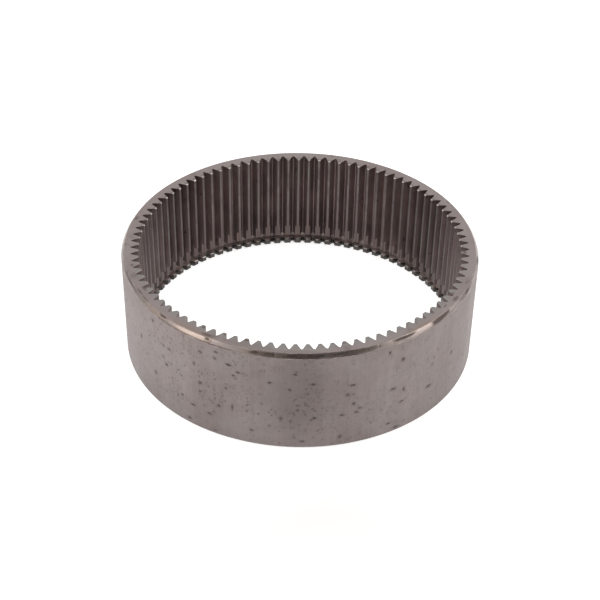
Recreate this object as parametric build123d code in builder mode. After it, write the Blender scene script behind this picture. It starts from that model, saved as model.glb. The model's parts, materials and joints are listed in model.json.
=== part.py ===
from build123d import *
from math import acos, cos, pi, radians, sin, tan
import os

# Internal ring gear of a planetary hub reduction: one turned steel ring with straight involute teeth inside.
#
# The ring stands on its grooved end. Its axis is Z and z = 0 is that end's face. From there upwards the bore
# has a short row of tooth stubs, a snap-ring groove, a seat where the tooth tips are bored away for the
# toothed carrier, and the full-depth teeth that the planet gears run in. All lengths are in millimetres.

# Teeth
MODULE = 2.5
TEETH = 91
PRESSURE_ANGLE = 25.0  # degrees, at the pitch circle
ADDENDUM_FACTOR = 1.0  # times the module: pitch circle in to the tooth tips
DEDENDUM_FACTOR = 1.25  # times the module: pitch circle out to the tooth roots
TIP_BEVEL = 0.25  # on the two long corners of each tooth tip
ROOT_CROWN = 0.06  # rise of the rounded root between the outer ends of its two flanks

# Ring
RIM = 6.625  # wall behind the tooth roots
HEIGHT = 78.0
TOP_CHAMFER_RADIAL = 2.1
TOP_CHAMFER_AXIAL = 3.1
BASE_CHAMFER = 1.0
MOUTH_CHAMFER = 0.6  # turned on the ends of the tooth tips, at both ends of the bore

# Carrier seat and snap-ring groove, at the lower end
SEAT_STEP = 2.15  # how far the seat is bored back behind the tooth tips
SEAT_LENGTH = 8.8
GROOVE_WIDTH = 4.0
GROOVE_DEPTH = 1.1  # behind the tooth roots
STUB_LENGTH = 4.2

OVERRUN = 1.0  # how far the bored cut starts outside the metal
BEVEL_REACH = 3.0  # times its own size that the cut of a bevel is drawn, so that it leaves the metal

PITCH_RADIUS = MODULE * TEETH / 2
BASE_RADIUS = PITCH_RADIUS * cos(radians(PRESSURE_ANGLE))
TIP_RADIUS = PITCH_RADIUS - ADDENDUM_FACTOR * MODULE
ROOT_RADIUS = PITCH_RADIUS + DEDENDUM_FACTOR * MODULE
OUTER_RADIUS = ROOT_RADIUS + RIM
SEAT_RADIUS = TIP_RADIUS + SEAT_STEP
GROOVE_RADIUS = ROOT_RADIUS + GROOVE_DEPTH
GROOVE_TOP = STUB_LENGTH + GROOVE_WIDTH
SEAT_TOP = GROOVE_TOP + SEAT_LENGTH


def involute(angle):
    """The involute function of an angle in radians."""
    return tan(angle) - angle


def space_half_angle(radius):
    """Half the angle, in radians, that a tooth space takes up at a radius."""
    at_pitch = pi / (2 * TEETH)
    return at_pitch + involute(radians(PRESSURE_ANGLE)) - involute(acos(BASE_RADIUS / radius))


def polar_point(radius, angle):
    """The point at a radius and an angle in radians from +X."""
    return Vector(radius * cos(angle), radius * sin(angle))


def flank_point(radius, side):
    """A point on a flank of the space that is centred on +X. side is 1 above the X axis and -1 below it."""
    return polar_point(radius, side * space_half_angle(radius))


def tip_corner(side):
    """Where the bevel beside that flank meets the tip circle."""
    return polar_point(TIP_RADIUS, side * (space_half_angle(TIP_RADIUS) + TIP_BEVEL / TIP_RADIUS))


def tooth_space():
    """One tooth space, centred on +X: two bevels at its mouth, two flanks and a rounded root."""
    flank_start = TIP_RADIUS + TIP_BEVEL
    flank_end = ROOT_RADIUS - ROOT_CROWN
    mouth = []
    with BuildSketch() as space:
        with BuildLine():
            for side in (1, -1):
                start = flank_point(flank_start, side)
                Spline(start, flank_point(PITCH_RADIUS, side), flank_point(flank_end, side))
                bevel = Line(start, start + (tip_corner(side) - start) * BEVEL_REACH)
                mouth.append(bevel @ 1)
            ThreePointArc(flank_point(flank_end, 1), (ROOT_RADIUS, 0), flank_point(flank_end, -1))
            Line(*mouth)
        make_face()
    return space.sketch


def bevel_cut(corner, radial, axial):
    """The triangle that bevels a corner of the half section. radial and axial are its legs into the metal."""
    inward = Vector(radial, 0)
    along = Vector(0, axial)
    outside = Vector(*corner) - (inward + along) * ((BEVEL_REACH - 1) / 2)
    return outside, outside + inward * BEVEL_REACH, outside + along * BEVEL_REACH


# Toothed section: the ring seen along its axis, with every tooth space cut out of it
with BuildSketch() as toothed_section:
    Circle(OUTER_RADIUS)
    Circle(TIP_RADIUS, mode=Mode.SUBTRACT)
    with PolarLocations(0, TEETH):
        add(tooth_space(), mode=Mode.SUBTRACT)

# Turned cuts: all that the lathe takes off, as a half section with the radius along X and the height along Y
with BuildSketch(Plane.XZ) as turned_cuts:
    with BuildLine():
        Polyline(
            (TIP_RADIUS - OVERRUN, -OVERRUN),
            (SEAT_RADIUS, -OVERRUN),
            (SEAT_RADIUS, STUB_LENGTH),
            (GROOVE_RADIUS, STUB_LENGTH),
            (GROOVE_RADIUS, GROOVE_TOP),
            (SEAT_RADIUS, GROOVE_TOP),
            (SEAT_RADIUS, SEAT_TOP),
            (TIP_RADIUS - OVERRUN, SEAT_TOP),
            close=True,
        )
    make_face()
    for corner, radial, axial in (
        ((OUTER_RADIUS, HEIGHT), -TOP_CHAMFER_RADIAL, -TOP_CHAMFER_AXIAL),
        ((OUTER_RADIUS, 0), -BASE_CHAMFER, BASE_CHAMFER),
        ((TIP_RADIUS, HEIGHT), MOUTH_CHAMFER, -MOUTH_CHAMFER),
        ((SEAT_RADIUS, 0), MOUTH_CHAMFER, MOUTH_CHAMFER),
    ):
        with BuildLine():
            Polyline(*bevel_cut(corner, radial, axial), close=True)
        make_face()

with BuildPart() as ring_gear:
    add(toothed_section.sketch)
    extrude(amount=HEIGHT)
    add(turned_cuts.sketch)
    revolve(axis=Axis.Z, mode=Mode.SUBTRACT)

ring_gear.part.label = "ring_gear"
os.makedirs("parts", exist_ok=True)
export_step(ring_gear.part, "parts/ring_gear.step")

print(f"outside diameter {2 * OUTER_RADIUS:.2f}, tip diameter {2 * TIP_RADIUS:.2f}, height {HEIGHT:.2f}")
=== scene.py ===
import json
import math

import bpy
from mathutils import Matrix, Vector, noise


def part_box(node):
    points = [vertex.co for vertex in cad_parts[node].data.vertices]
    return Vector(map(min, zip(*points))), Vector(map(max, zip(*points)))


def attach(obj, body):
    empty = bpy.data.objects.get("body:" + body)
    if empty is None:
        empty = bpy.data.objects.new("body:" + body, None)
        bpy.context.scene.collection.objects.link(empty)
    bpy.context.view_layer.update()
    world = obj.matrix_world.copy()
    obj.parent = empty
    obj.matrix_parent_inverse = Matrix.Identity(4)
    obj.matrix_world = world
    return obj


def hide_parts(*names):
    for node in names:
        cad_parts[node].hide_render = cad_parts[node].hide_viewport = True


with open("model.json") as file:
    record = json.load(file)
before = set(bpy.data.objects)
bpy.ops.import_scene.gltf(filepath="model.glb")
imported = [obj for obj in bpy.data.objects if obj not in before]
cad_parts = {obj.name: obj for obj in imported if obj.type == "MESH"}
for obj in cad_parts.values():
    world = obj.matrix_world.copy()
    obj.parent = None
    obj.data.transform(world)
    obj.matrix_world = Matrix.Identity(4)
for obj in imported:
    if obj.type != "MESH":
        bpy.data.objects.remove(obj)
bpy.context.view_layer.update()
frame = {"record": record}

# The ring's sizes, in metres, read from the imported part
NODE = "ring_gear"
low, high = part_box(NODE)
mounts = {mount["name"]: mount for mount in frame["record"]["mounts"]}
MM = 0.001  # metres


def mount_radius(name):
    """The radius of a round mount."""
    return mounts[name]["dims"]["r_mm"] * MM


def mount_span(name):
    """The lowest and highest z of a mount that runs along the ring's axis."""
    middle = mounts[name]["pos_m"][2]
    half = mounts[name]["dims"]["length_mm"] * MM / 2
    return middle - half, middle + half


OUTER_RADIUS = high.x
HEIGHT = high.z
PITCH_RADIUS = mount_radius("planet_teeth")
SEAT_RADIUS = mount_radius("carrier_seat")
GROOVE_RADIUS = mount_radius("snap_ring_groove")
GROOVE_BASE, GROOVE_TOP = mount_span("snap_ring_groove")
SEAT_TOP = mount_span("carrier_seat")[1]
BASE_CHAMFER, TOP_CHAMFER_EDGE = mount_span("outer_wall")

# Teeth
TEETH = 91
PRESSURE_ANGLE = math.radians(25)
ADDENDUM = 2.5 * MM
DEDENDUM = 3.125 * MM
TIP_BEVEL = 0.25 * MM
TIP_RADIUS = PITCH_RADIUS - ADDENDUM
ROOT_RADIUS = PITCH_RADIUS + DEDENDUM
PITCH_STEP = 2 * math.pi / TEETH

# Rim
TOP_CHAMFER_RADIAL = 2.1 * MM
TOP_CHAMFER_AXIAL = HEIGHT - TOP_CHAMFER_EDGE
MOUTH_CHAMFER = 0.6 * MM  # on the ends of the tooth tips, at both ends of the bore
EDGE_BREAK = 0.15 * MM  # on the ends of the teeth and the upper edge of the groove
STUB_EDGE = 0.24 * MM
SOFT_EDGE = 0.12 * MM  # on the turned corners of the rim
FACE_MARGIN = 0.8 * MM  # between the end faces' own circles and the tooth roots or the top chamfer
UPPER_ROW = 0.7  # heights of two plain circles on the wall, as shares of the ring's height
LOWER_ROW = 0.35

# Angles of stains, lamps and the camera are counted from the ring's -Y side, towards +X
FRONT = math.radians(-90)


def involute(angle):
    """The involute function of an angle in radians."""
    return math.tan(angle) - angle


BASE_RADIUS = PITCH_RADIUS * math.cos(PRESSURE_ANGLE)
APEX_INVOLUTE = math.pi / (2 * TEETH) + involute(PRESSURE_ANGLE)


def space_half_angle(radius):
    """Half the angle that a tooth space takes up at a radius."""
    return APEX_INVOLUTE - involute(math.acos(BASE_RADIUS / radius))


def polar(radius, angle):
    """The flat point at a radius and an angle in radians from +X."""
    return Vector((radius * math.cos(angle), radius * math.sin(angle)))


# ---------------------------------------------------------------- one tooth pitch of the ring

ROOT_STEPS = 3  # faces on half of a root
ROOT_LEAN = math.radians(28.3)  # of a flank's outer end, from the middle of the space
APEX_PRESSURE = math.radians(28.82)  # pressure angle where the two flanks would meet
BORE_MARGIN = 0.1 * MM  # nearer than this to a bored circle, no point of the flank is kept
TIP_COLUMNS = 2  # columns of faces at each side of a pitch that lie on the tooth's tip
FLANK_RADII = (PITCH_RADIUS + 1.2 * MM, PITCH_RADIUS - 0.25 * MM, PITCH_RADIUS - 1.3 * MM)


def root_round():
    """Centre distance, radius and half span of the arc that joins the two flanks at the root."""
    apex = BASE_RADIUS / math.cos(APEX_PRESSURE)
    radius = (apex - ROOT_RADIUS) / (1 / math.sin(ROOT_LEAN) - 1)
    return ROOT_RADIUS - radius, radius, math.pi / 2 - ROOT_LEAN


def half_section():
    """Half of a tooth space, from the middle of its root to the middle of the next tooth's land."""
    centre, radius, span = root_round()
    points = []
    for step in range(ROOT_STEPS + 1):
        turn = span * step / ROOT_STEPS
        points.append(Vector((centre + radius * math.cos(turn), radius * math.sin(turn))))
    for flank_radius in FLANK_RADII:
        points.append(polar(flank_radius, space_half_angle(flank_radius)))
    bevel_start = TIP_RADIUS + TIP_BEVEL
    points.append(polar(bevel_start, space_half_angle(bevel_start)))
    corner = space_half_angle(TIP_RADIUS) + TIP_BEVEL / TIP_RADIUS
    points.append(polar(TIP_RADIUS, corner))
    points.append(polar(TIP_RADIUS, PITCH_STEP / 2))
    return points


def bored(half, radius):
    """The half section where the tooth is bored back to a radius, with as many points as before."""
    points = [point for point in half if point.length > radius + BORE_MARGIN]
    corner = space_half_angle(radius)
    spare = len(half) - len(points) - 1
    for step in range(spare + 1):
        angle = corner + (PITCH_STEP / 2 - corner) * step / spare
        points.append(polar(radius, angle))
    return points


def whole_section(half):
    """Mirrors a half section into one whole pitch, from mid land to mid land."""
    mirrored = [Vector((point.x, -point.y)) for point in reversed(half[1:])]
    return mirrored + half


def eased(section, distance):
    """A section with its edge broken: each point moved into the metal, at right angles to the outline."""
    moved = []
    last = len(section) - 1
    for index, point in enumerate(section):
        before = section[max(index - 1, 0)]
        after = section[min(index + 1, last)]
        along = (after - before).normalized()
        if index in (0, last):
            along = Vector((-point.y, point.x)).normalized()
        moved.append(point + Vector((along.y, -along.x)) * distance)
    return moved


def level(section, height):
    """A section laid flat at a height."""
    return [Vector((point.x, point.y, height)) for point in section]


def ring_line(section, radius, height):
    """A circle of the given radius with its points in line with the section's."""
    return level([point.normalized() * radius for point in section], height)


def below_mouth(section, end, inward, tip_radius):
    """The section just inside the bevel on the tooth tips' ends. inward is 1 upwards and -1 downwards."""
    rows = []
    for point in section:
        depth = max(tip_radius + MOUTH_CHAMFER - point.length, EDGE_BREAK)
        rows.append(Vector((point.x, point.y, end + inward * depth)))
    return rows


def at_mouth(half, end, tip_radius):
    """The section in the end face, with the tooth tips bevelled away and every edge broken."""
    section = whole_section(bored(half, tip_radius + MOUTH_CHAMFER - EDGE_BREAK))
    return level(eased(section, EDGE_BREAK), end)


FINISHES = (
    "turned_wall", "chamfer", "end_face", "flank", "land",
    "stub", "stub_side", "groove", "edge", "mouth",
)

# Bands whose finish differs between the tooth tips and the flanks and roots beside them
TIP_AND_SIDE = {
    "inside": ("land", "flank"),
    "mouth": ("mouth", "edge"),
    "stub": ("stub", "stub_side"),
    "stub_edge": ("mouth", "edge"),
}


def pitch_belt():
    """The outlines round the ring's wall, each with the finish of the band that follows it."""
    half = half_section()
    full = whole_section(half)
    seat = whole_section(bored(half, SEAT_RADIUS))
    wall = OUTER_RADIUS
    shoulder = OUTER_RADIUS - TOP_CHAMFER_RADIAL
    slope = TOP_CHAMFER_AXIAL / TOP_CHAMFER_RADIAL
    middle = shoulder + TOP_CHAMFER_RADIAL / 2
    return [
        (at_mouth(half, 0.0, SEAT_RADIUS), "mouth"),
        (below_mouth(seat, 0.0, 1, SEAT_RADIUS), "stub"),
        (level(seat, GROOVE_BASE - STUB_EDGE), "stub_edge"),
        (level(eased(seat, STUB_EDGE), GROOVE_BASE), "groove"),
        (ring_line(full, GROOVE_RADIUS, GROOVE_BASE), "groove"),
        (ring_line(full, GROOVE_RADIUS, GROOVE_TOP), "groove"),
        (level(eased(seat, EDGE_BREAK), GROOVE_TOP), "edge"),
        (level(seat, GROOVE_TOP + EDGE_BREAK), "inside"),
        (level(seat, SEAT_TOP), "inside"),
        (level(full, SEAT_TOP), "inside"),
        (level(full, (SEAT_TOP + HEIGHT) / 2), "inside"),
        (below_mouth(full, HEIGHT, -1, TIP_RADIUS), "mouth"),
        (at_mouth(half, HEIGHT, TIP_RADIUS), "end_face"),
        (ring_line(full, ROOT_RADIUS + FACE_MARGIN, HEIGHT), "end_face"),
        (ring_line(full, shoulder - FACE_MARGIN, HEIGHT), "end_face"),
        (ring_line(full, shoulder - SOFT_EDGE, HEIGHT), "edge"),
        (ring_line(full, shoulder + SOFT_EDGE, HEIGHT - slope * SOFT_EDGE), "chamfer"),
        (ring_line(full, middle, HEIGHT - TOP_CHAMFER_AXIAL / 2), "chamfer"),
        (ring_line(full, wall - SOFT_EDGE, TOP_CHAMFER_EDGE + slope * SOFT_EDGE), "edge"),
        (ring_line(full, wall, TOP_CHAMFER_EDGE - SOFT_EDGE), "turned_wall"),
        (ring_line(full, wall, HEIGHT * UPPER_ROW), "turned_wall"),
        (ring_line(full, wall, HEIGHT * LOWER_ROW), "turned_wall"),
        (ring_line(full, wall, BASE_CHAMFER + SOFT_EDGE), "turned_wall"),
        (ring_line(full, wall - SOFT_EDGE, BASE_CHAMFER - SOFT_EDGE), "turned_wall"),
        (ring_line(full, wall - BASE_CHAMFER + SOFT_EDGE, SOFT_EDGE), "turned_wall"),
        (ring_line(full, wall - BASE_CHAMFER - SOFT_EDGE, 0.0), "end_face"),
        (ring_line(full, ROOT_RADIUS + FACE_MARGIN, 0.0), "end_face"),
    ]


def band_finish(name, column, last):
    """The finish of one column of a band, which may differ between the tooth tips and the flanks."""
    on_tip, beside = TIP_AND_SIDE.get(name, (name, name))
    return on_tip if min(column, last - column) < TIP_COLUMNS else beside


def build_pitch():
    """The mesh of one tooth pitch, closed round the ring's wall and open at its two sides."""
    belt = pitch_belt()
    columns = len(belt[0][0])
    vertices = [point for section, _ in belt for point in section]
    faces = []
    finishes = []
    for row, (_, name) in enumerate(belt):
        below = row * columns
        above = (row + 1) % len(belt) * columns
        for column in range(columns - 1):
            faces.append((below + column, above + column, above + column + 1, below + column + 1))
            finishes.append(FINISHES.index(band_finish(name, column, columns - 2)))
    mesh = bpy.data.meshes.new("tooth_pitch")
    mesh.from_pydata(vertices, [], faces)
    attribute = mesh.attributes.new("finish", "INT", "FACE")
    attribute.data.foreach_set("value", finishes)
    mesh.update()
    piece = bpy.data.objects.new("tooth_pitch", mesh)
    bpy.context.scene.collection.objects.link(piece)
    return piece


# ---------------------------------------------------------------- the whole ring, by Geometry Nodes

WELD_DISTANCE = 0.002 * MM
SHARP_ANGLE = math.radians(27)

# Wear on the two edges of the top chamfer, in mm
SLOW_WANDER = 0.10
QUICK_WANDER = 0.03
NICK_DEPTH = 0.9
MOST_RAISED = 0.05  # an edge never stands out further than this
NICK_LEVEL = 0.42  # a share, not mm: the higher it is, the fewer nicks there are


def ring_tree(materials):
    """A node tree that turns one tooth pitch into the whole ring and gives each band its finish."""
    tree = bpy.data.node_groups.new("ring_of_pitches", "GeometryNodeTree")
    sockets = tree.interface
    sockets.new_socket("Geometry", in_out="INPUT", socket_type="NodeSocketGeometry")
    sockets.new_socket("Teeth", in_out="INPUT", socket_type="NodeSocketInt")
    sockets.new_socket("Pitch Step", in_out="INPUT", socket_type="NodeSocketFloat")
    sockets.new_socket("Weld Distance", in_out="INPUT", socket_type="NodeSocketFloat")
    sockets.new_socket("Geometry", in_out="OUTPUT", socket_type="NodeSocketGeometry")
    nodes, links = tree.nodes, tree.links
    given = nodes.new("NodeGroupInput")
    points = nodes.new("GeometryNodePoints")
    links.new(given.outputs["Teeth"], points.inputs["Count"])
    index = nodes.new("GeometryNodeInputIndex")
    turn = nodes.new("ShaderNodeMath")
    turn.operation = "MULTIPLY"
    links.new(index.outputs[0], turn.inputs[0])
    links.new(given.outputs["Pitch Step"], turn.inputs[1])
    angles = nodes.new("ShaderNodeCombineXYZ")
    links.new(turn.outputs[0], angles.inputs["Z"])
    rotation = nodes.new("FunctionNodeEulerToRotation")
    links.new(angles.outputs[0], rotation.inputs[0])
    copies = nodes.new("GeometryNodeInstanceOnPoints")
    links.new(points.outputs[0], copies.inputs["Points"])
    links.new(given.outputs["Geometry"], copies.inputs["Instance"])
    links.new(rotation.outputs[0], copies.inputs["Rotation"])
    realized = nodes.new("GeometryNodeRealizeInstances")
    links.new(copies.outputs[0], realized.inputs[0])
    weld = nodes.new("GeometryNodeMergeByDistance")
    links.new(realized.outputs[0], weld.inputs["Geometry"])
    links.new(given.outputs["Weld Distance"], weld.inputs["Distance"])
    finish = nodes.new("GeometryNodeInputNamedAttribute")
    finish.data_type = "INT"
    finish.inputs["Name"].default_value = "finish"
    shape = weld.outputs[0]
    for number, material in enumerate(materials):
        is_finish = nodes.new("FunctionNodeCompare")
        is_finish.data_type = "INT"
        is_finish.operation = "EQUAL"
        links.new(finish.outputs["Attribute"], is_finish.inputs["A"])
        is_finish.inputs["B"].default_value = number
        painted = nodes.new("GeometryNodeSetMaterial")
        painted.inputs["Material"].default_value = material
        links.new(shape, painted.inputs["Geometry"])
        links.new(is_finish.outputs[0], painted.inputs["Selection"])
        shape = painted.outputs[0]
    result = nodes.new("NodeGroupOutput")
    links.new(shape, result.inputs[0])
    return tree


def set_input(modifier, name, value):
    """Sets a modifier's input, which is found by name and set by its socket's identifier."""
    for item in modifier.node_group.interface.items_tree:
        if item.name == name and item.in_out == "INPUT":
            modifier[item.identifier] = value


def plain_mesh(piece, name):
    """The evaluated shape of a piece as a plain mesh, on a new object with no modifier."""
    graph = bpy.context.evaluated_depsgraph_get()
    mesh = bpy.data.meshes.new_from_object(piece.evaluated_get(graph))
    bpy.data.objects.remove(piece)
    made = bpy.data.objects.new(name, mesh)
    bpy.context.scene.collection.objects.link(made)
    return made


def wear_rim(mesh):
    """Wanders the edges of the top chamfer a little and knocks small nicks into them."""
    least_radius = OUTER_RADIUS - TOP_CHAMFER_RADIAL - 0.4 * MM
    least_height = TOP_CHAMFER_EDGE - 0.5 * MM
    for vertex in mesh.vertices:
        radius = math.hypot(vertex.co.x, vertex.co.y)
        if radius < least_radius or vertex.co.z < least_height:
            continue
        angle = math.atan2(vertex.co.y, vertex.co.x)
        around = Vector((math.cos(angle), math.sin(angle), 0))
        upper = radius < OUTER_RADIUS - TOP_CHAMFER_RADIAL / 2
        offset = 3.0 if upper else 0.0  # so that the two edges don't wear alike
        slow = noise.noise(around * 5 + Vector((0, 0, offset)))
        quick = noise.noise(around * 60 + Vector((0, 0, offset + 7)))
        nick = max(0.0, noise.noise(around * 28 + Vector((0, 0, offset + 19))) - NICK_LEVEL)
        worn = (SLOW_WANDER * slow + QUICK_WANDER * quick + NICK_DEPTH * nick) * MM
        amount = max(worn, -MOST_RAISED * MM)
        if upper:
            vertex.co -= around * amount
        else:
            vertex.co.z -= amount


def build_ring(materials):
    """The finished ring: 91 pitches welded together, with its rim worn and its corners sharp."""
    pitch = build_pitch()
    modifier = pitch.modifiers.new("ring_of_pitches", "NODES")
    modifier.node_group = ring_tree(materials)
    set_input(modifier, "Teeth", TEETH)
    set_input(modifier, "Pitch Step", PITCH_STEP)
    set_input(modifier, "Weld Distance", WELD_DISTANCE)
    ring = plain_mesh(pitch, "ring_gear_body")
    wear_rim(ring.data)
    ring.data.shade_smooth()
    ring.data.set_sharp_from_angle(angle=SHARP_ANGLE)
    return ring


# ---------------------------------------------------------------- finishes

class Wiring:
    """Wires shader nodes step by step. A value is a socket or a plain number or colour."""

    def __init__(self, tree):
        self.tree = tree

    def add(self, kind, **settings):
        """A new node with some of its settings."""
        node = self.tree.nodes.new(kind)
        for key, value in settings.items():
            setattr(node, key, value)
        return node

    def feed(self, socket, value):
        """Links a socket to a value's socket, or sets it to a plain value."""
        if isinstance(value, bpy.types.NodeSocket):
            self.tree.links.new(value, socket)
        else:
            socket.default_value = value

    def math(self, operation, a, b=0.0, clamp=False):
        """The result of a calculation with one or two values."""
        node = self.add("ShaderNodeMath", operation=operation, use_clamp=clamp)
        self.feed(node.inputs[0], a)
        self.feed(node.inputs[1], b)
        return node.outputs[0]

    def times(self, a, b):
        """One value times another."""
        return self.math("MULTIPLY", a, b)

    def larger(self, a, b):
        """The larger of two values."""
        return self.math("MAXIMUM", a, b)

    def ramp(self, value, low, high, to_low=0.0, to_high=1.0):
        """Maps a value from one range to another, smoothly and with its ends held."""
        node = self.add("ShaderNodeMapRange", interpolation_type="SMOOTHSTEP", clamp=True)
        self.feed(node.inputs["Value"], value)
        ends = {"From Min": low, "From Max": high, "To Min": to_low, "To Max": to_high}
        for name, number in ends.items():
            self.feed(node.inputs[name], number)
        return node.outputs["Result"]


class Finish(Wiring):
    """A procedural steel finish on the ring's own coordinates, in metres."""

    def __init__(self, name):
        self.material = bpy.data.materials.new(name)
        self.material.use_nodes = True
        super().__init__(self.material.node_tree)
        self.tree.nodes.clear()
        self.place = self.add("ShaderNodeTexCoord").outputs["Object"]

    def stretched(self, scale, move=(0, 0, 0)):
        """The ring's coordinates, scaled and moved."""
        node = self.add("ShaderNodeMapping")
        self.feed(node.inputs["Vector"], self.place)
        node.inputs["Scale"].default_value = scale
        node.inputs["Location"].default_value = move
        return node.outputs[0]

    def noise(self, scale, detail=3.0, rough=0.5, vector=None):
        """A soft random pattern between 0 and 1."""
        node = self.add("ShaderNodeTexNoise")
        self.feed(node.inputs["Vector"], self.place if vector is None else vector)
        node.inputs["Scale"].default_value = scale
        node.inputs["Detail"].default_value = detail
        node.inputs["Roughness"].default_value = rough
        return node.outputs["Fac"]

    def moved_noise(self, scale, move, detail=3.0, rough=0.5):
        """The same noise taken from another place, so that two patterns don't line up."""
        return self.noise(scale, detail, rough, self.stretched((1, 1, 1), move))

    def axis_distance(self):
        """Distance from the ring's axis."""
        flat = self.add("ShaderNodeVectorMath", operation="MULTIPLY")
        self.feed(flat.inputs[0], self.place)
        flat.inputs[1].default_value = (1, 1, 0)
        length = self.add("ShaderNodeVectorMath", operation="LENGTH")
        self.feed(length.inputs[0], flat.outputs[0])
        return length.outputs["Value"]

    def along(self, axis):
        """How far along X, Y or Z a point lies."""
        parts = self.add("ShaderNodeSeparateXYZ")
        self.feed(parts.inputs[0], self.place)
        return parts.outputs[axis]

    def pits(self, scale, smallest, largest, share, pattern, move=(0, 0, 0)):
        """Ragged pits scattered at random: 1 in the middle, 0 outside. share is how many cells have one."""
        cells = self.add("ShaderNodeTexVoronoi", feature="F1")
        self.feed(cells.inputs["Vector"], self.stretched((1, 1, 1), move))
        cells.inputs["Scale"].default_value = scale
        parts = self.add("ShaderNodeSeparateColor")
        self.feed(parts.inputs[0], cells.outputs["Color"])
        size = self.ramp(parts.outputs["Red"], 0.0, 1.0, smallest, largest)
        kept = self.math("LESS_THAN", parts.outputs["Green"], share)
        distance = self.ragged(cells.outputs["Distance"], 0.38, pattern)
        inside = self.math("SUBTRACT", 1.0, self.math("DIVIDE", distance, size), clamp=True)
        strength = self.ramp(parts.outputs["Blue"], 0.0, 1.0, 0.45, 1.0)
        return self.times(self.times(self.ramp(inside, 0.0, 0.6), kept), strength)

    def stain(self, angle, radius, height, size):
        """Distance from a stain's middle, in half widths. size is radial, around and upright, in mm."""
        node = self.add("ShaderNodeMapping", vector_type="TEXTURE")
        self.feed(node.inputs["Vector"], self.place)
        turn = math.radians(angle) + FRONT
        flat = polar(radius, turn)
        node.inputs["Location"].default_value = (flat.x, flat.y, height * MM)
        node.inputs["Rotation"].default_value = (0, 0, turn)
        node.inputs["Scale"].default_value = [width * MM / 2 for width in size]
        length = self.add("ShaderNodeVectorMath", operation="LENGTH")
        self.feed(length.inputs[0], node.outputs[0])
        return length.outputs["Value"]

    def wall_stains(self, places):
        """Distance from the nearest stain on the wall or the chamfer, listed as in WALL_STAINS."""
        nearest = 9.0
        for angle, height, width, tall in places:
            spot = self.stain(angle, OUTER_RADIUS, height, (40, width, tall))
            nearest = self.math("MINIMUM", nearest, spot)
        return nearest

    def face_stains(self, places):
        """Distance from the nearest stain on the top face, listed as in FACE_GILT."""
        nearest = 9.0
        for angle, radius, width, across in places:
            spot = self.stain(angle, radius * MM, HEIGHT / MM, (across, width, 20))
            nearest = self.math("MINIMUM", nearest, spot)
        return nearest

    def ragged(self, distance, amount, pattern):
        """Breaks up the outline of stains with a noise pattern."""
        wander = self.times(self.math("SUBTRACT", pattern, 0.5), 2 * amount)
        return self.math("ADD", distance, wander)

    def side_shade(self):
        """How much painted shade the bore gets at its sides: 1 on the +X side, less on the -X side, 0
        between them.
        """
        across = self.along("X")
        right = self.ramp(across, 0.030, 0.080)
        left = self.ramp(across, -0.055, -0.100, 0.0, 0.65)
        return self.larger(right, left)

    def blend(self, amount, first, second):
        """A mix of two colours: the first where the amount is 0, the second where it is 1."""
        node = self.add("ShaderNodeMix", data_type="RGBA")
        self.feed(node.inputs["Factor"], amount)
        self.feed(node.inputs["A"], first)
        self.feed(node.inputs["B"], second)
        return node.outputs["Result"]

    def bump(self, height, distance, strength, under=None):
        """A fine relief, on its own or on top of another."""
        node = self.add("ShaderNodeBump")
        node.inputs["Strength"].default_value = strength
        node.inputs["Distance"].default_value = distance
        self.feed(node.inputs["Height"], height)
        if under is not None:
            self.feed(node.inputs["Normal"], under)
        return node.outputs["Normal"]

    def done(self, color, roughness, normal, metallic, glancing=1.0):
        """Ends the wiring in a metal shader. glancing is the share of its shine kept at a flat angle."""
        shader = self.add("ShaderNodeBsdfPrincipled")
        shader.inputs["Specular Tint"].default_value = (glancing, glancing, glancing, 1)
        self.feed(shader.inputs["Base Color"], color)
        self.feed(shader.inputs["Roughness"], roughness)
        self.feed(shader.inputs["Normal"], normal)
        shader.inputs["Metallic"].default_value = metallic
        output = self.add("ShaderNodeOutputMaterial")
        self.tree.links.new(shader.outputs[0], output.inputs[0])
        return self.material


FACING_FEED = 0.35 * MM  # between the fine rings that the lathe left on the end faces

STEEL = (0.232, 0.194, 0.188, 1)
STEEL_SHADE = (0.198, 0.163, 0.158, 1)
STEEL_PALE = (0.285, 0.245, 0.238, 1)
# Used for random mottling and for the painted shade on the wall's front
STEEL_FILM_AND_SHADE = (0.150, 0.124, 0.121, 1)
STEEL_NEUTRAL = (0.232, 0.205, 0.196, 1)
FACED = (0.268, 0.226, 0.220, 1)
FACED_SHADE = (0.238, 0.196, 0.190, 1)
FACED_NEUTRAL = (0.266, 0.231, 0.222, 1)
FACED_OILY = (0.120, 0.106, 0.094, 1)
FACED_GREY = (0.212, 0.215, 0.205, 1)
PIT_DARK = (0.045, 0.034, 0.035, 1)
# Oil colours, used also for painted shade in the bore and on the back tooth tips
OIL_BROWN_AND_SHADE = (0.080, 0.052, 0.040, 1)
OIL_BLACK_AND_SHADE = (0.018, 0.013, 0.013, 1)
TAN_SHEEN = (0.300, 0.235, 0.190, 1)
GILT = (0.250, 0.190, 0.140, 1)
FLANK_BROWN = (0.265, 0.196, 0.190, 1)
FLANK_DARK = (0.163, 0.116, 0.112, 1)
FLANK_OLIVE = (0.185, 0.155, 0.138, 1)
LAND_GREY = (0.108, 0.088, 0.086, 1)
STUB_GREY = (0.078, 0.074, 0.071, 1)
LAND_PALE = (0.166, 0.137, 0.134, 1)
LAND_OLIVE = (0.145, 0.136, 0.118, 1)
LAND_LOW_TONE = (0.120, 0.088, 0.084, 1)
GROOVE_DARK = (0.075, 0.066, 0.061, 1)
GROOVE_FILM = (0.190, 0.148, 0.142, 1)
GROOVE_BROWN_AND_LIGHT = (0.400, 0.320, 0.300, 1)
EDGE_BRIGHT = (0.40, 0.36, 0.34, 1)
MOUTH_BRIGHT = (0.48, 0.45, 0.42, 1)

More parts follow.
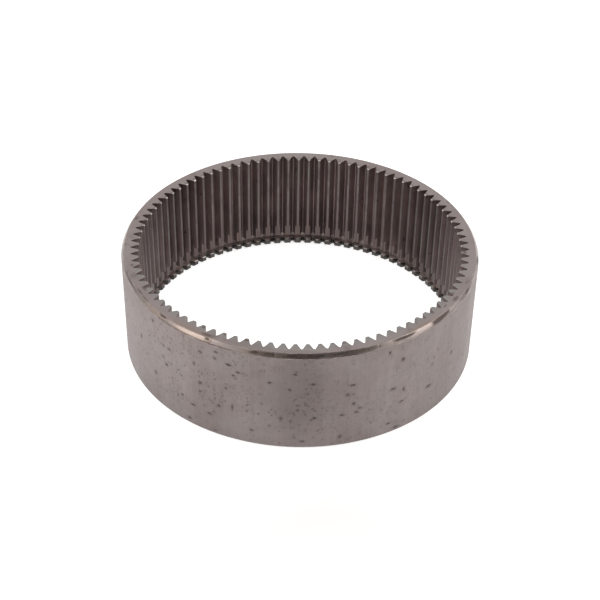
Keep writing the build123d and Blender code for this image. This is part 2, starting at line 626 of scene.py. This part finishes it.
# Angle in degrees, height in mm, width and height in mm of each larger pit or stain on the wall
WALL_STAINS = (
    (-56.5, 45, 2.6, 3.2), (-48.5, 69, 2.2, 2.6), (-48.5, 25.5, 2.6, 3.2), (-42.5, 40, 2.8, 2.6),
    (-41, 54.5, 3.4, 2.2), (-36, 22, 2.4, 2.2), (-33.5, 5, 3.4, 2.0), (-32, 18, 4.2, 1.8),
    (-31, 54, 2.2, 2.6), (-29, 40, 3.0, 2.6), (-29, 32.5, 2.2, 2.0), (-28.5, 66, 2.8, 2.6),
    (-26, 16.5, 3.6, 2.2), (-23.5, 65, 2.4, 2.6), (-23, 70.5, 3.4, 2.2), (-22.5, 26, 2.4, 2.4),
    (-20, 43, 2.2, 2.2), (-19, 63, 4.2, 2.2), (-18, 28, 1.8, 5.0), (-17.5, 55, 2.4, 2.0),
    (-16, 58.5, 3.2, 1.8), (-12, 12, 2.8, 2.0), (-6.5, 54.5, 3.2, 1.8), (-3, 25, 2.6, 4.0),
    (-0.5, 50, 2.2, 2.4), (1, 62.5, 3.0, 1.6), (3.5, 6, 3.4, 2.0), (6.5, 54.5, 4.4, 1.8),
    (7, 26, 2.6, 2.4), (15, 8, 2.6, 3.6), (15.5, 26.5, 4.2, 1.8), (17, 43, 3.2, 2.8),
    (18.5, 50.5, 4.6, 1.8), (19, 34.5, 2.8, 2.6), (20, 27, 3.0, 2.2), (21, 30, 3.0, 1.8),
    (30, 69.5, 1.7, 3.0), (31, 9, 3.4, 1.8), (32, 38, 4.6, 2.6), (34, 3.5, 5.0, 1.8),
    (35, 60.5, 3.4, 3.0), (35.5, 24.5, 4.4, 1.4), (36, 34.5, 1.8, 3.6), (46.5, 25, 5.0, 2.4),
    (58, 39, 2.4, 3.4),
)

# The same for the top chamfer: brown oil films, black oil smears in them, and dark lines along its two
# edges
CHAMFER_FILMS = (
    (-76, 76.5, 44, 2.4), (-62, 76.8, 30, 1.4), (-44, 77.4, 9, 1.1), (-26, 76.9, 7, 2.9),
    (-8.6, 76.4, 20, 3.4), (3.4, 76.4, 26, 3.6), (20.5, 76.4, 30, 3.6), (35.5, 77.1, 21, 1.9),
    (50.3, 76.5, 17, 3.6), (67, 76.5, 20, 2.4), (84, 76.6, 20, 2.8),
)
CHAMFER_SMEARS = (
    (-66, 77.0, 22, 0.8), (-44, 77.2, 8, 1.1), (-26.4, 77.3, 3.8, 1.3), (-11.0, 76.8, 6.6, 1.9),
    (-1.4, 76.2, 2.8, 1.6), (3.3, 76.8, 6.6, 2.0), (16.3, 76.9, 3.6, 2.4), (35.2, 77.0, 20, 1.9),
    (50.2, 76.7, 18, 3.1), (52.6, 77.0, 14, 1.9), (67.5, 76.4, 9, 1.1), (85, 76.5, 12, 1.4),
)
CHAMFER_LINES = (
    (-38.5, 77.9, 40, 0.6), (-31, 75.25, 62, 0.95), (18, 75.0, 30, 0.5), (52, 77.8, 18, 0.45),
)

# Angle in degrees, radius in mm, width around and across in mm of the stains on the top face
FACE_GILT = ((-33, 120.3, 64, 4.2), (43, 120.5, 36, 3.4))
FACE_FILMS = ((-11, 118.6, 38, 9.0), (2, 119.8, 30, 4.0))
FACE_SMUDGES = (
    (-101.6, 119.4, 5.0, 2.4), (-73.5, 117.1, 3.0, 2.2), (-59.5, 116.6, 6.0, 2.4), (-58.5, 120.6, 9.0, 1.6),
    (-54.5, 121.0, 9.0, 1.1), (-27.3, 119.2, 8.5, 3.2), (61.0, 119.6, 6.5, 2.8), (62.8, 115.6, 5.0, 1.6),
    (71, 119.5, 3.0, 1.2), (56, 118, 4.0, 1.4), (119.5, 120.2, 3.6, 1.4), (117.2, 120.6, 2.4, 1.2),
    (-30, 113.8, 4.0, 2.4), (-22, 113.6, 4.0, 2.0), (-15, 113.8, 5.0, 2.4), (16, 113.6, 5.0, 2.2),
    (43, 113.6, 4.0, 2.6), (88, 113.5, 6.0, 3.0),
)


def turned_wall():
    """The outer wall: satin turned steel with faint upright streaks, scattered pits and darker stains, a
    painted highlight on its left front and painted shade in the middle of its front.
    """
    steel = Finish("turned_wall_steel")
    clouds = steel.noise(16.0, 4.0, 0.55)
    streaks = steel.noise(1.0, 3.0, 0.6, steel.stretched((420, 420, 16)))
    wide_streaks = steel.noise(1.0, 2.0, 0.5, steel.stretched((75, 75, 7), (3, 1, 0)))
    lathe_lines = steel.noise(1.0, 3.0, 0.6, steel.stretched((18, 18, 2600)))
    grain = steel.noise(1500.0, 3.0, 0.6)
    color = steel.blend(steel.ramp(clouds, 0.32, 0.68), STEEL_SHADE, STEEL)
    neutral = steel.ramp(steel.moved_noise(30.0, (0.5, 0, 0)), 0.4, 0.7, 0.0, 0.8)
    color = steel.blend(neutral, color, STEEL_NEUTRAL)
    color = steel.blend(steel.ramp(wide_streaks, 0.42, 0.75, 0.0, 0.45), color, STEEL_PALE)
    color = steel.blend(steel.ramp(streaks, 0.35, 0.75, 0.0, 0.24), color, STEEL_PALE)
    # Painted highlight: the wall paler on its left front
    wear_and_highlight = steel.ramp(steel.stain(-54, OUTER_RADIUS, 44, (90, 120, 110)), 1.0, 0.2, 0.0, 0.75)
    color = steel.blend(wear_and_highlight, color, STEEL_PALE)
    # Painted shade: the middle of the wall's front darkened, standing in for a darker reflection there
    painted_front_shade = steel.ramp(steel.stain(3, OUTER_RADIUS, 45, (90, 62, 110)), 1.0, 0.2, 0.0, 0.50)
    color = steel.blend(painted_front_shade, color, STEEL_FILM_AND_SHADE)
    mottle = steel.ramp(steel.moved_noise(150.0, (0.6, 0.1, 0.2), 5.0, 0.65), 0.35, 0.65, 0.0, 0.22)
    color = steel.blend(mottle, color, STEEL_FILM_AND_SHADE)
    spread = steel.ramp(steel.noise(22.0, 2.0, 0.5), 0.36, 0.58)
    left_side = steel.ramp(steel.along("X"), -0.01, 0.04, 1.0, 0.35)
    low_down = steel.ramp(steel.along("Z"), 0.035, 0.065, 1.0, 0.6)
    crowd = steel.times(spread, steel.times(left_side, low_down))
    breakup = steel.noise(520.0, 4.0, 0.65)
    small = steel.times(steel.pits(430.0, 0.22, 0.55, 0.60, breakup), crowd)
    medium = steel.times(steel.pits(200.0, 0.12, 0.34, 0.60, breakup, (0.3, 0.1, 0)), crowd)
    blots = steel.ramp(steel.moved_noise(260.0, (0.2, 0.3, 0.1), 4.0, 0.62), 0.58, 0.72, 0.0, 0.55)
    fine_streaks = steel.noise(1.0, 3.0, 0.6, steel.stretched((800, 800, 85), (1, 2, 0)))
    scuffs = steel.ramp(fine_streaks, 0.60, 0.74, 0.0, 0.40)
    far_side = steel.ramp(steel.along("Y"), -0.02, 0.02)
    large = steel.times(steel.pits(70.0, 0.07, 0.16, 0.35, breakup, (0.1, 0.4, 0)), far_side)
    marks = steel.ragged(steel.wall_stains(WALL_STAINS), 1.0, breakup)
    halo = steel.ramp(marks, 2.0, 0.9, 0.0, 0.28)
    depth = steel.ramp(steel.moved_noise(75.0, (0.4, 0.8, 0.3), 1.0), 0.38, 0.58, 0.75, 1.0)
    core = steel.times(steel.ramp(marks, 1.10, 0.60), depth)
    specks = steel.larger(steel.times(small, 0.8), steel.times(medium, 0.85))
    smears = steel.times(steel.larger(blots, scuffs), steel.ramp(spread, 0.0, 1.0, 0.35, 1.0))
    pits = steel.larger(steel.larger(specks, smears), steel.larger(core, halo))
    pits = steel.larger(pits, large)
    color = steel.blend(steel.times(pits, 0.70), color, PIT_DARK)
    rough = steel.math("ADD", steel.ramp(grain, 0.3, 0.7, 0.42, 0.52), steel.times(pits, 0.2))
    normal = steel.bump(steel.math("ADD", lathe_lines, steel.times(grain, 0.6)), 0.015 * MM, 0.35)
    normal = steel.bump(steel.math("SUBTRACT", 1.0, specks), 0.08 * MM, 0.5, normal)
    return steel.done(color, rough, normal, 0.85, 0.88)


def chamfer():
    """The worn top chamfer: brighter turned steel with films and dark smears of old oil, and a painted warm
    sheen at its front and back.
    """
    steel = Finish("worn_chamfer_steel")
    wear_and_highlight = steel.noise(1.0, 3.0, 0.5, steel.stretched((40, 40, 260)))
    wisps = steel.noise(1.0, 2.0, 0.5, steel.stretched((160, 160, 900)))
    color = steel.blend(steel.ramp(wear_and_highlight, 0.30, 0.70), STEEL, STEEL_PALE)
    # Painted highlight: a warm tan sheen on the chamfer's front and back
    tan = steel.ramp(steel.moved_noise(30.0, (0.2, 0.6, 0), 2.0), 0.40, 0.66, 0.0, 0.55)
    ahead = steel.ramp(steel.math("ABSOLUTE", steel.along("X")), 0.092, 0.106, 1.0, 0.0)
    color = steel.blend(steel.times(tan, ahead), color, TAN_SHEEN)
    films = steel.ragged(steel.wall_stains(CHAMFER_FILMS), 0.7, wisps)
    color = steel.blend(steel.ramp(films, 1.15, 0.75, 0.0, 0.39), color, OIL_BROWN_AND_SHADE)
    lines = steel.ragged(steel.wall_stains(CHAMFER_LINES), 0.4, wisps)
    color = steel.blend(steel.ramp(lines, 1.4, 0.6, 0.0, 0.70), color, OIL_BROWN_AND_SHADE)
    marks = steel.ragged(steel.wall_stains(CHAMFER_SMEARS), 0.5, wisps)
    core = steel.ramp(marks, 1.10, 0.60)
    color = steel.blend(steel.times(core, 0.62), color, OIL_BLACK_AND_SHADE)
    rough = steel.math("ADD", steel.ramp(wisps, 0.3, 0.7, 0.25, 0.31), steel.times(core, 0.25))
    return steel.done(color, rough, steel.bump(wisps, 0.005 * MM, 0.2), 0.92)


def end_face():
    """The flat ends: faced steel with fine rings round the axis and oil stains, and painted shade on the
    ends of the tooth tips at the back.
    """
    steel = Finish("faced_steel")
    clouds = steel.noise(24.0, 4.0, 0.55)
    color = steel.blend(steel.ramp(clouds, 0.35, 0.7), FACED_SHADE, FACED)
    neutral = steel.ramp(steel.moved_noise(36.0, (0.5, 0, 0)), 0.4, 0.62)
    color = steel.blend(neutral, color, FACED_NEUTRAL)
    blot = steel.ramp(steel.moved_noise(60.0, (0.7, 0.2, 0), 4.0, 0.6), 0.56, 0.72, 0.0, 0.40)
    color = steel.blend(blot, color, OIL_BROWN_AND_SHADE)
    gilt = steel.ragged(steel.face_stains(FACE_GILT), 0.45, steel.noise(200.0, 3.0, 0.6))
    color = steel.blend(steel.ramp(gilt, 1.2, 0.4, 0.0, 0.50), color, GILT)
    radius = steel.axis_distance()
    toothed = steel.ramp(radius, TIP_RADIUS + 3.6 * MM, ROOT_RADIUS + 1.2 * MM, 0.60, 0.0)
    back = steel.along("Y")
    greyed = steel.times(toothed, steel.ramp(back, 0.02, -0.06, 0.2, 1.0))
    color = steel.blend(greyed, color, FACED_GREY)
    # Painted shade: the ends of the tooth tips on the back half darkened brown
    tips = steel.ramp(radius, TIP_RADIUS + 4 * MM, TIP_RADIUS + 1 * MM)
    painted_tip_shade = steel.times(tips, steel.ramp(back, 0.0, 0.08, 0.0, 0.35))
    color = steel.blend(painted_tip_shade, color, OIL_BROWN_AND_SHADE)
    film = steel.ragged(steel.face_stains(FACE_FILMS), 0.4, steel.noise(110.0, 2.0, 0.5))
    color = steel.blend(steel.ramp(film, 1.2, 0.5, 0.0, 0.30), color, FACED_OILY)
    marks = steel.ragged(steel.face_stains(FACE_SMUDGES), 0.60, steel.noise(330.0, 4.0, 0.6))
    color = steel.blend(steel.ramp(marks, 1.4, 0.3, 0.0, 0.65), color, OIL_BROWN_AND_SHADE)
    rings = steel.math("SINE", steel.times(radius, 2 * math.pi / FACING_FEED))
    grain = steel.noise(1200.0, 3.0, 0.6)
    rough = steel.ramp(grain, 0.3, 0.7, 0.44, 0.54)
    normal = steel.bump(steel.math("ADD", steel.times(rings, 0.3), grain), 0.012 * MM, 0.4)
    return steel.done(color, rough, normal, 0.85)


def flank():
    """Tooth flanks and roots: brown, oil-stained steel with upright broaching lines and dark blots, and
    painted shade at the bore's sides, towards the roots and low down.
    """
    steel = Finish("oiled_flank_steel")
    lines = steel.noise(1.0, 3.0, 0.6, steel.stretched((2600, 2600, 14)))
    clouds = steel.noise(60.0, 4.0, 0.6, steel.stretched((1, 1, 0.5)))
    color = steel.blend(steel.ramp(clouds, 0.30, 0.70), FLANK_DARK, FLANK_BROWN)
    olive = steel.ramp(steel.moved_noise(34.0, (0.1, 0.9, 0)), 0.46, 0.66, 0.0, 0.55)
    color = steel.blend(olive, color, FLANK_OLIVE)
    color = steel.blend(steel.ramp(lines, 0.45, 0.8, 0.0, 0.35), color, STEEL)
    blots = steel.ramp(steel.moved_noise(190.0, (0.4, 0.3, 0), 3.0, 0.55), 0.64, 0.74)
    color = steel.blend(steel.times(blots, 0.60), color, OIL_BLACK_AND_SHADE)
    near_top = steel.ramp(steel.along("Z"), HEIGHT - 5 * MM, HEIGHT, 0.0, 0.55)
    color = steel.blend(near_top, color, OIL_BROWN_AND_SHADE)
    # Painted shade: the flanks darkened at the bore's two sides, most towards the roots
    aside = steel.ramp(steel.math("ABSOLUTE", steel.along("X")), 0.068, 0.092, 0.0, 0.50)
    deep = steel.ramp(steel.axis_distance(), TIP_RADIUS + 1 * MM, TIP_RADIUS + 4 * MM, 0.45, 1.0)
    color = steel.blend(steel.times(aside, deep), color, OIL_BLACK_AND_SHADE)
    # Painted shade: the flanks darkened low down in the bore, most in its middle
    painted_low_shade = steel.ramp(steel.along("Z"), 40 * MM, 16 * MM, 0.0, 0.42)
    from_middle = steel.math("ABSOLUTE", steel.math("ADD", steel.along("X"), 0.010))
    middle = steel.ramp(from_middle, 0.030, 0.055, 1.0, 0.5)
    color = steel.blend(steel.times(painted_low_shade, middle), color, OIL_BLACK_AND_SHADE)
    rough = steel.ramp(lines, 0.3, 0.7, 0.40, 0.52)
    return steel.done(color, rough, steel.bump(lines, 0.02 * MM, 0.3), 0.75)


def land():
    """Tooth tips and the bored seat: turned steel with dark drips, darker low down and below the seat's
    top, and painted shade at the bore's sides.
    """
    steel = Finish("tooth_tip_steel")
    drips = steel.ramp(steel.noise(1.0, 3.0, 0.6, steel.stretched((210, 210, 40))), 0.55, 0.72)
    clouds = steel.noise(110.0, 3.0, 0.6)
    color = steel.blend(steel.ramp(clouds, 0.3, 0.7), LAND_GREY, LAND_PALE)
    olive = steel.ramp(steel.moved_noise(70.0, (0.3, 0.2, 0)), 0.50, 0.66, 0.0, 0.7)
    color = steel.blend(olive, color, LAND_OLIVE)
    color = steel.blend(steel.times(drips, 0.5), color, FLANK_DARK)
    height = steel.along("Z")
    # Darker towards the bottom, and a step darker below the seat's top
    color = steel.blend(steel.ramp(height, 50 * MM, SEAT_TOP * 0.9, 0.0, 0.70), color, LAND_LOW_TONE)
    color = steel.blend(steel.ramp(height, SEAT_TOP, SEAT_TOP - 1 * MM, 0.0, 0.25), color, OIL_BROWN_AND_SHADE)
    # Painted shade on the tooth tips at the bore's two sides
    color = steel.blend(steel.times(steel.side_shade(), 0.38), color, OIL_BLACK_AND_SHADE)
    grain = steel.noise(1500.0, 2.0, 0.5)
    rough = steel.ramp(grain, 0.3, 0.7, 0.33, 0.43)
    return steel.done(color, rough, steel.bump(grain, 0.01 * MM, 0.3), 0.85)


def stub():
    """The tooth stubs below the groove: plain grey steel with a film of oil."""
    steel = Finish("stub_steel")
    clouds = steel.noise(160.0, 4.0, 0.6)
    color = steel.blend(steel.ramp(clouds, 0.38, 0.62), GROOVE_DARK, STUB_GREY)
    grain = steel.noise(1300.0, 3.0, 0.6)
    rough = steel.ramp(clouds, 0.3, 0.7, 0.26, 0.42)
    return steel.done(color, rough, steel.bump(grain, 0.02 * MM, 0.3), 0.7)


def stub_side():
    """The sides of the stubs: nearly black with old oil."""
    steel = Finish("stub_side_steel")
    clouds = steel.noise(160.0, 4.0, 0.6)
    color = steel.blend(steel.ramp(clouds, 0.40, 0.66), OIL_BLACK_AND_SHADE, GROOVE_DARK)
    rough = steel.ramp(clouds, 0.3, 0.7, 0.26, 0.42)
    return steel.done(color, rough, steel.bump(clouds, 0.02 * MM, 0.3), 0.5)


def groove():
    """The snap-ring groove: steel under a dull brown film, painted paler than the steel around it as
    painted light inside the groove's shade.
    """
    steel = Finish("oily_groove_steel")
    clouds = steel.noise(150.0, 4.0, 0.6)
    # Painted light: the groove's colours are paler and duller than the steel, to show it lit inside its
    # shade
    color = steel.blend(steel.ramp(clouds, 0.38, 0.64), GROOVE_FILM, GROOVE_BROWN_AND_LIGHT)
    grain = steel.noise(1300.0, 3.0, 0.6)
    rough = steel.ramp(clouds, 0.3, 0.7, 0.40, 0.55)
    return steel.done(color, rough, steel.bump(grain, 0.02 * MM, 0.3), 0.1)


def edge():
    """Broken edges, worn bright in places."""
    steel = Finish("worn_edge_steel")
    wear = steel.noise(160.0, 4.0, 0.6)
    color = steel.blend(steel.ramp(wear, 0.44, 0.66), STEEL_SHADE, EDGE_BRIGHT)
    grain = steel.noise(1500.0, 2.0, 0.5)
    rough = steel.ramp(wear, 0.3, 0.7, 0.34, 0.44)
    return steel.done(color, rough, steel.bump(grain, 0.01 * MM, 0.3), 0.9)


def mouth():
    """The bevel turned on the ends of the tooth tips: clean cut steel."""
    steel = Finish("mouth_bevel_steel")
    wear = steel.noise(220.0, 3.0, 0.6)
    color = steel.blend(steel.ramp(wear, 0.36, 0.58), STEEL_PALE, MOUTH_BRIGHT)
    grain = steel.noise(1500.0, 2.0, 0.5)
    rough = steel.ramp(wear, 0.3, 0.7, 0.13, 0.22)
    return steel.done(color, rough, steel.bump(grain, 0.01 * MM, 0.2), 0.92)


# ---------------------------------------------------------------- studio

# Distances in metres, angles in degrees
FLOOR_SIZE = 6.0
FLOOR_DROP = 0.02 * MM  # below the ring's lower face
FLOOR_SHADE_PLACE = (0.030, -0.235, 0)
LAMP_ELEVATION = 28
LAMP_DISTANCE = 1.2
LAMP_COLOR = (1.0, 0.95, 0.88)
TENT_COLOR = (1.0, 0.99, 0.985, 1)
TENT_LIGHT = 1.15
TENT_DARK = 0.09
BACKDROP_LIGHT = 0.97

# The tent's dark place: azimuth, elevation and half sizes in degrees
DARK_AZIMUTH = 12
DARK_ELEVATION = 34
DARK_HALF_WIDTH = 40
DARK_HALF_HEIGHT = 24


def outward(azimuth, elevation):
    """The direction away from the ring's axis at an azimuth and an elevation in degrees."""
    turn = FRONT + math.radians(azimuth)
    rise = math.radians(elevation)
    return Vector((math.cos(rise) * math.cos(turn), math.cos(rise) * math.sin(turn), math.sin(rise)))


def lit_floor():
    """A pale floor lit from below, with a shade on it in front of the ring."""
    floor = Finish("pale_floor")
    under_bore = floor.ramp(floor.axis_distance(), 0.108, 0.122, 0.75, 0.62)
    away = floor.add("ShaderNodeVectorMath", operation="DISTANCE")
    floor.feed(away.inputs[0], floor.place)
    away.inputs[1].default_value = FLOOR_SHADE_PLACE
    glow = floor.times(under_bore, floor.ramp(away.outputs["Value"], 0.045, 0.135, 0.32, 1.0))
    shader = floor.add("ShaderNodeBsdfPrincipled")
    shader.inputs["Base Color"].default_value = (0.75, 0.75, 0.75, 1)
    shader.inputs["Roughness"].default_value = 0.75
    shader.inputs["Emission Color"].default_value = (1, 1, 1, 1)
    floor.feed(shader.inputs["Emission Strength"], glow)
    output = floor.add("ShaderNodeOutputMaterial")
    floor.tree.links.new(shader.outputs[0], output.inputs[0])
    return floor.material


def build_floor():
    """The floor that the ring stands on."""
    mesh = bpy.data.meshes.new("studio_floor")
    half = FLOOR_SIZE / 2
    corners = [(-half, -half, 0), (half, -half, 0), (half, half, 0), (-half, half, 0)]
    mesh.from_pydata(corners, [], [(0, 1, 2, 3)])
    floor = bpy.data.objects.new("studio_floor", mesh)
    bpy.context.scene.collection.objects.link(floor)
    floor.location.z = low.z - FLOOR_DROP
    mesh.materials.append(lit_floor())


def soft_box(name, azimuth, size, power):
    """An oblong lamp that faces the ring. size is its width and height in metres."""
    away = outward(azimuth, LAMP_ELEVATION)
    data = bpy.data.lights.new(name, "AREA")
    data.shape = "RECTANGLE"
    data.size, data.size_y = size
    data.energy = power
    data.color = LAMP_COLOR
    lamp = bpy.data.objects.new(name, data)
    bpy.context.scene.collection.objects.link(lamp)
    lamp.location = Vector((0, 0, HEIGHT / 2)) + away * LAMP_DISTANCE
    lamp.rotation_euler = (-away).to_track_quat("-Z", "Y").to_euler()
    lamp.visible_camera = False


def build_sky():
    """An even white tent of light, with a dark place in it high on the front side."""
    world = bpy.data.worlds.new("light_tent")
    world.use_nodes = True
    tent = Wiring(world.node_tree)
    parts = tent.add("ShaderNodeSeparateXYZ")
    tent.feed(parts.inputs[0], tent.add("ShaderNodeTexCoord").outputs["Generated"])
    aside = tent.math("ARCTAN2", parts.outputs["X"], tent.times(parts.outputs["Y"], -1.0))
    rise = tent.math("ARCSINE", parts.outputs["Z"])
    across = tent.math("SUBTRACT", aside, math.radians(DARK_AZIMUTH))
    across = tent.math("DIVIDE", across, math.radians(DARK_HALF_WIDTH))
    up = tent.math("SUBTRACT", rise, math.radians(DARK_ELEVATION))
    up = tent.math("DIVIDE", up, math.radians(DARK_HALF_HEIGHT))
    squares = tent.math("ADD", tent.math("POWER", across, 2.0), tent.math("POWER", up, 2.0))
    reach = tent.math("SQRT", squares)
    above = tent.ramp(rise, math.radians(-2), math.radians(16), 0.65, 1.0)
    light = tent.times(tent.ramp(reach, 0.85, 1.15, TENT_DARK, TENT_LIGHT), above)
    seen = tent.add("ShaderNodeLightPath").outputs["Is Camera Ray"]
    shown = tent.add("ShaderNodeMix")
    tent.feed(shown.inputs[0], seen)
    tent.feed(shown.inputs[2], light)
    tent.feed(shown.inputs[3], BACKDROP_LIGHT)
    background = world.node_tree.nodes["Background"]
    tent.feed(background.inputs["Strength"], shown.outputs[0])
    background.inputs["Color"].default_value = TENT_COLOR
    bpy.context.scene.world = world


def light_studio():
    """The tent and its two soft boxes."""
    build_sky()
    soft_box("left", -62, (0.42, 0.70), 2.2)
    soft_box("right", 81, (0.56, 0.75), 2.8)


# ---------------------------------------------------------------- camera

# Angles in degrees, distances in metres, lens and sensor in mm
CAMERA_AZIMUTH = 1.836
CAMERA_ELEVATION = 36.84
CAMERA_DISTANCE = 0.9986
CAMERA_ROLL = 1.04
CAMERA_LENS = 83.95
SENSOR_WIDTH = 36
AIM_HEIGHT = 28.8 * MM
AIM_ASIDE = 0.6 * MM


def place_camera():
    """Aims the camera a little beside the ring's axis."""
    away = outward(CAMERA_AZIMUTH, CAMERA_ELEVATION)
    turn = FRONT + math.radians(CAMERA_AZIMUTH)
    aside = Vector((-math.sin(turn), math.cos(turn), 0))
    aim = aside * AIM_ASIDE + Vector((0, 0, AIM_HEIGHT))
    data = bpy.data.cameras.new("camera")
    data.sensor_width = SENSOR_WIDTH
    data.lens = CAMERA_LENS
    camera = bpy.data.objects.new("camera", data)
    bpy.context.scene.collection.objects.link(camera)
    look = (-away).to_track_quat("-Z", "Y").to_matrix().to_4x4()
    roll = Matrix.Rotation(math.radians(CAMERA_ROLL), 4, "Z")
    camera.matrix_world = Matrix.Translation(aim + away * CAMERA_DISTANCE) @ look @ roll
    bpy.context.scene.camera = camera


place_camera()
light_studio()
build_floor()

# In the order of FINISHES
finishes = [
    turned_wall(), chamfer(), end_face(), flank(), land(),
    stub(), stub_side(), groove(), edge(), mouth(),
]
ring = build_ring(finishes)
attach(ring, "root")
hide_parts(NODE)

bpy.context.scene.view_settings.view_transform = "Standard"
